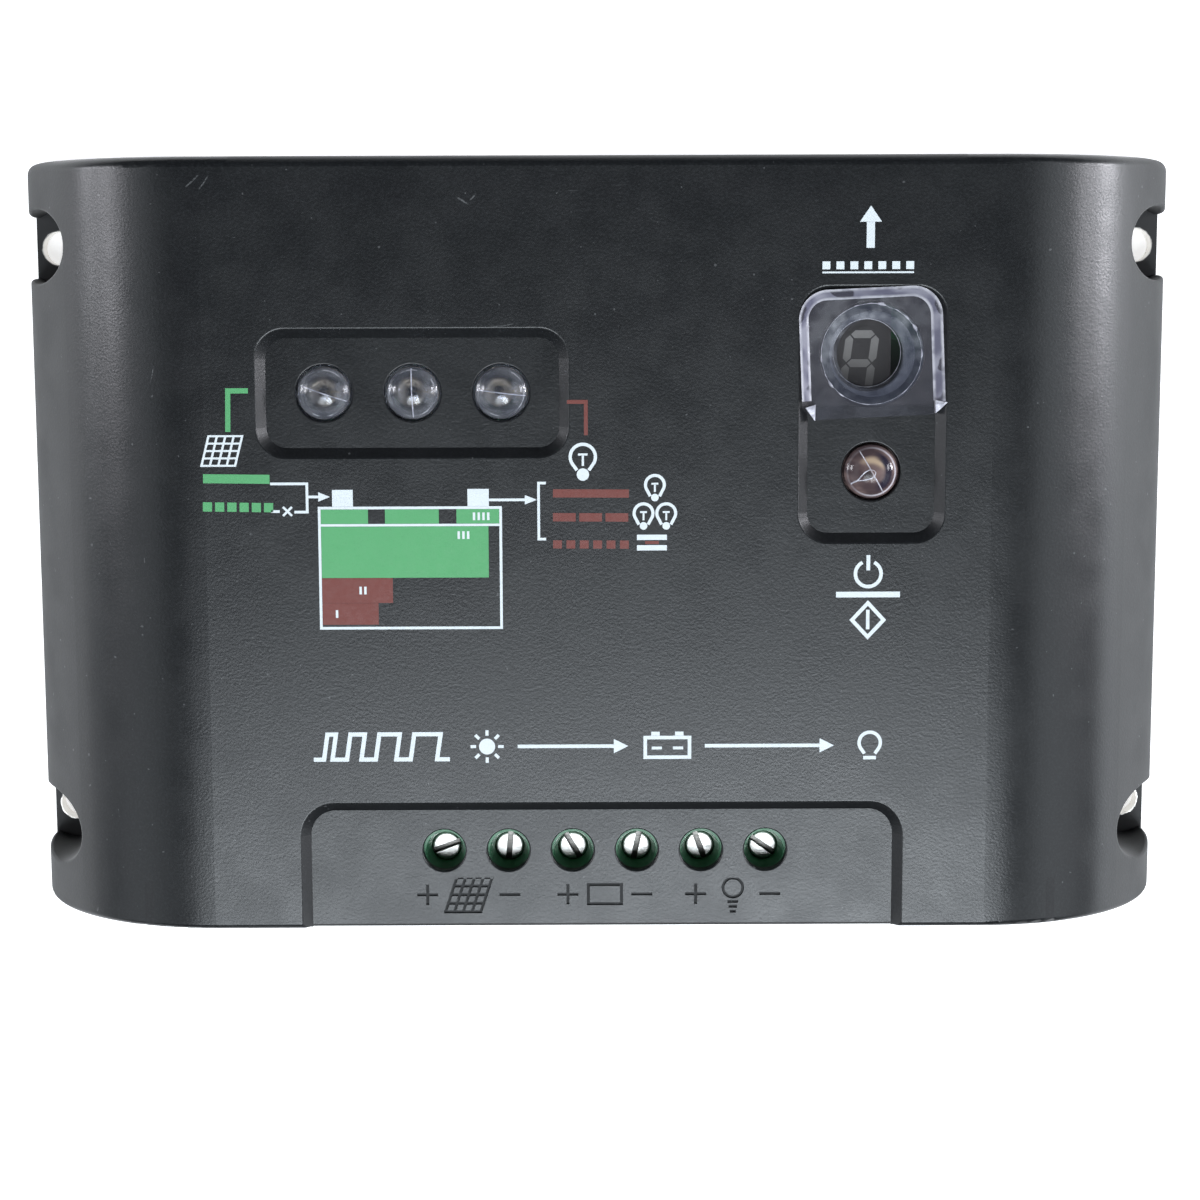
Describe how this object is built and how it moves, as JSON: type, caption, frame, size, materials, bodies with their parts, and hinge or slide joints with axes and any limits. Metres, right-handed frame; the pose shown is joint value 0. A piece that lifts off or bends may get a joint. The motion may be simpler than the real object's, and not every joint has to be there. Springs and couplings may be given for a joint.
{
  "type": "solar charge controller",
  "caption": "Wall-mounted charge controller: rounded black case on a metal plate, lamps, one digit, a push button and a row of screw terminals under the lower edge.",
  "frame": {"origin": "centre of the back plane, the plane that meets the wall", "axes": "+X to the right of the front face, +Y up the front face, +Z out of the front face"},
  "size_m": [0.14, 0.0904, 0.0284],
  "materials": {
    "case_plastic": "fine spark-eroded grain",
    "black_plate": "matt black paint",
    "dark_screw": "black oxide",
    "steel_screw": "zinc",
    "nickel": "nickel plated",
    "brass": "plain",
    "pad": "matt",
    "epoxy": "moulded epoxy",
    "board": "solder mask",
    "black_plastic": "moulded",
    "brown_plastic": "moulded",
    "capacitor_sleeve": "shrunk sleeve",
    "copper_wire": "plain",
    "clear_plastic": "polished clear moulding",
    "clear_epoxy": "clear epoxy",
    "segment": "translucent",
    "digit_body": "black face",
    "terminal_green": "moulded polyamide"
  },
  "bodies": {
    "controller": {"front_case": "case_plastic", "base_plate": "black_plate", "case_screws": "dark_screw", "board_standoffs": "brass", "board_screws": "steel_screw", "display_board_screws": "steel_screw", "transistor_pad": "pad", "power_transistors": "epoxy", "transistor_screws": "steel_screw", "main_board": "board", "display_board": "board", "board_header": "black_plastic", "header_pins": "brass", "filter_capacitors": "capacitor_sleeve", "controller_chip": "epoxy", "voltage_regulator": "epoxy", "current_shunt": "copper_wire", "temperature_sensor": "epoxy", "surge_suppressor": "epoxy", "chip_resistors": "epoxy", "solar_lens": "clear_plastic", "battery_lens": "clear_plastic", "load_lens": "clear_plastic", "solar_led": "clear_epoxy", "battery_led": "clear_epoxy", "load_led": "clear_epoxy", "digit_segments": "segment", "digit_display": "digit_body", "display_window": "clear_plastic", "mode_switch_body": "black_plastic", "solar_terminal_block": "terminal_green", "battery_terminal_block": "terminal_green", "load_terminal_block": "terminal_green", "terminal_contacts": "brass"},
    "mode_button": {"mode_button": "clear_plastic", "mode_switch_plunger": "brown_plastic"},
    "solar_plus_screw": {"solar_plus_screw": "nickel"},
    "solar_plus_cage": {"solar_plus_cage": "brass"},
    "solar_minus_screw": {"solar_minus_screw": "nickel"},
    "solar_minus_cage": {"solar_minus_cage": "brass"},
    "battery_plus_screw": {"battery_plus_screw": "nickel"},
    "battery_plus_cage": {"battery_plus_cage": "brass"},
    "battery_minus_screw": {"battery_minus_screw": "nickel"},
    "battery_minus_cage": {"battery_minus_cage": "brass"},
    "load_plus_screw": {"load_plus_screw": "nickel"},
    "load_plus_cage": {"load_plus_cage": "brass"},
    "load_minus_screw": {"load_minus_screw": "nickel"},
    "load_minus_cage": {"load_minus_cage": "brass"}
  },
  "joints": [
    {"name": "mode_button_press", "type": "slide", "parent": "controller", "child": "mode_button", "axis": [0, 0, -1], "range_m": [0, 0.0003], "stiffness_N_per_m": 5000, "springref_m": -0.0001},
    {"name": "solar_plus_screw_turn", "type": "hinge", "parent": "controller", "child": "solar_plus_screw", "pos_m": [-0.01845, -0.0365, 0.0213], "axis": [0, 0, -1], "range_deg": [0, 2160.1]},
    {"name": "solar_plus_cage_lift", "type": "slide", "parent": "controller", "child": "solar_plus_cage", "axis": [0, 0, 1], "range_m": [0, 0.003]},
    {"name": "solar_minus_screw_turn", "type": "hinge", "parent": "controller", "child": "solar_minus_screw", "pos_m": [-0.01083, -0.0365, 0.0213], "axis": [0, 0, -1], "range_deg": [0, 2160.1]},
    {"name": "solar_minus_cage_lift", "type": "slide", "parent": "controller", "child": "solar_minus_cage", "axis": [0, 0, 1], "range_m": [0, 0.003]},
    {"name": "battery_plus_screw_turn", "type": "hinge", "parent": "controller", "child": "battery_plus_screw", "pos_m": [-0.00321, -0.0365, 0.0213], "axis": [0, 0, -1], "range_deg": [0, 2160.1]},
    {"name": "battery_plus_cage_lift", "type": "slide", "parent": "controller", "child": "battery_plus_cage", "axis": [0, 0, 1], "range_m": [0, 0.003]},
    {"name": "battery_minus_screw_turn", "type": "hinge", "parent": "controller", "child": "battery_minus_screw", "pos_m": [0.00441, -0.0365, 0.0213], "axis": [0, 0, -1], "range_deg": [0, 2160.1]},
    {"name": "battery_minus_cage_lift", "type": "slide", "parent": "controller", "child": "battery_minus_cage", "axis": [0, 0, 1], "range_m": [0, 0.003]},
    {"name": "load_plus_screw_turn", "type": "hinge", "parent": "controller", "child": "load_plus_screw", "pos_m": [0.01203, -0.0365, 0.0213], "axis": [0, 0, -1], "range_deg": [0, 2160.1]},
    {"name": "load_plus_cage_lift", "type": "slide", "parent": "controller", "child": "load_plus_cage", "axis": [0, 0, 1], "range_m": [0, 0.003]},
    {"name": "load_minus_screw_turn", "type": "hinge", "parent": "controller", "child": "load_minus_screw", "pos_m": [0.01965, -0.0365, 0.0213], "axis": [0, 0, -1], "range_deg": [0, 2160.1]},
    {"name": "load_minus_cage_lift", "type": "slide", "parent": "controller", "child": "load_minus_cage", "axis": [0, 0, 1], "range_m": [0, 0.003]}
  ],
  "couplings": [
    {"joint": "solar_plus_screw_turn", "follows": "solar_plus_cage_lift", "rad_per_m": 12566},
    {"joint": "solar_minus_screw_turn", "follows": "solar_minus_cage_lift", "rad_per_m": 12566},
    {"joint": "battery_plus_screw_turn", "follows": "battery_plus_cage_lift", "rad_per_m": 12566},
    {"joint": "battery_minus_screw_turn", "follows": "battery_minus_cage_lift", "rad_per_m": 12566},
    {"joint": "load_plus_screw_turn", "follows": "load_plus_cage_lift", "rad_per_m": 12566},
    {"joint": "load_minus_screw_turn", "follows": "load_minus_cage_lift", "rad_per_m": 12566}
  ]
}
